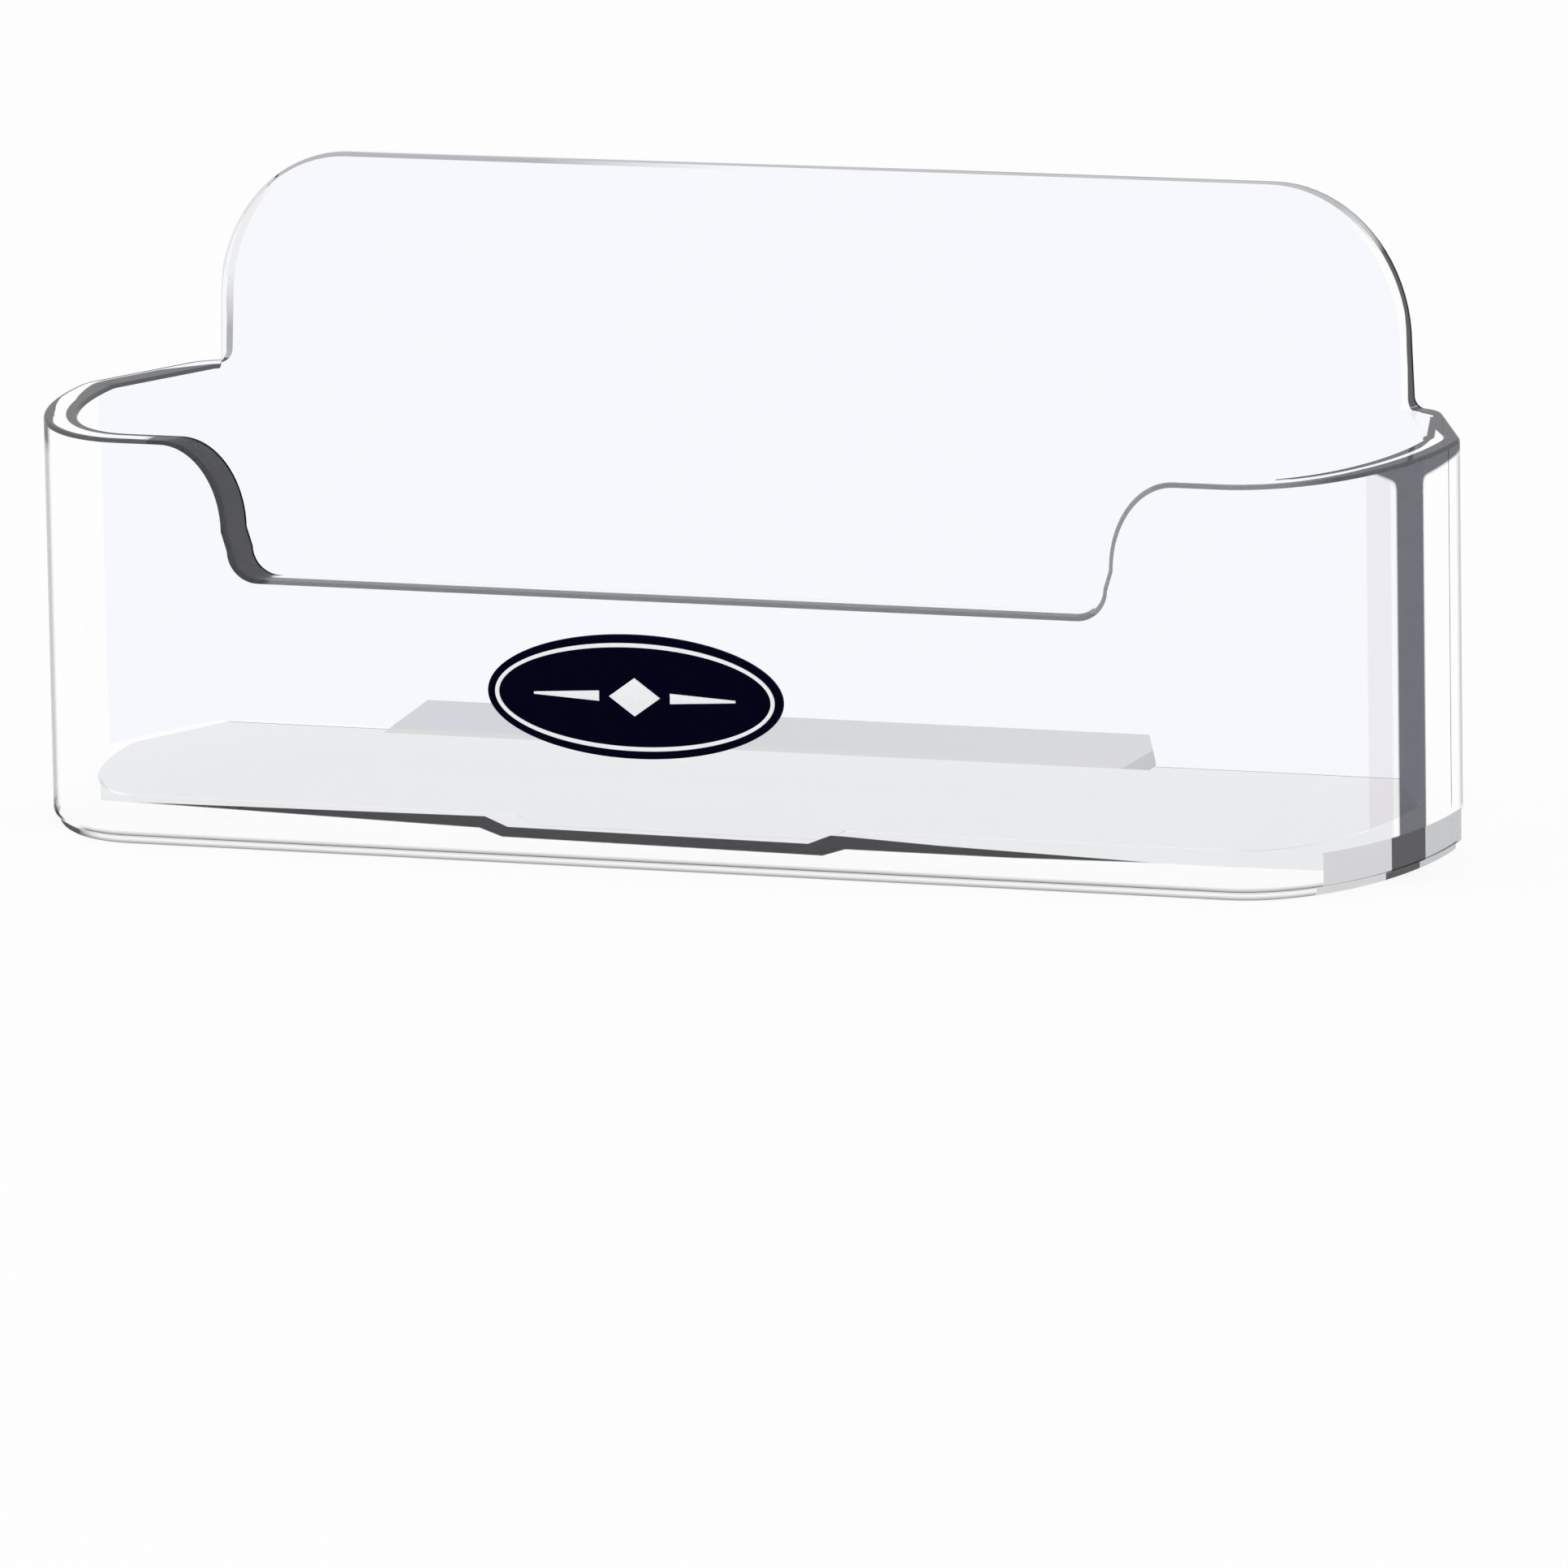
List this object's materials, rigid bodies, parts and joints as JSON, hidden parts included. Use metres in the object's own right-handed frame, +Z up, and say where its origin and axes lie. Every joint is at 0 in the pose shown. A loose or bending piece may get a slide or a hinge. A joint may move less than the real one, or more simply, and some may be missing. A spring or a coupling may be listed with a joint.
{
  "type": "business card organizer",
  "caption": "Clear moulded desk tray for upright business cards: raised rounded back panel, lowered front with curved shoulders, rounded ends, oval badge on the front.",
  "frame": {"origin": "on the table plane, below the centre of the whole part's box", "axes": "+X to the right along the tray's length, +Y towards the raised back panel, +Z up"},
  "size_m": [0.0984, 0.0326, 0.0429],
  "materials": {
    "clear_plastic": "clear polystyrene, polished mould finish",
    "navy_film": "satin vinyl film, near-black navy",
    "white_print": "screen-printed white ink"
  },
  "bodies": {
    "root": {"holder_moulding": "clear_plastic", "badge_film": "navy_film", "badge_ring": "white_print", "badge_lozenge": "white_print", "badge_bar_left": "white_print", "badge_bar_right": "white_print"}
  },
  "joints": []
}
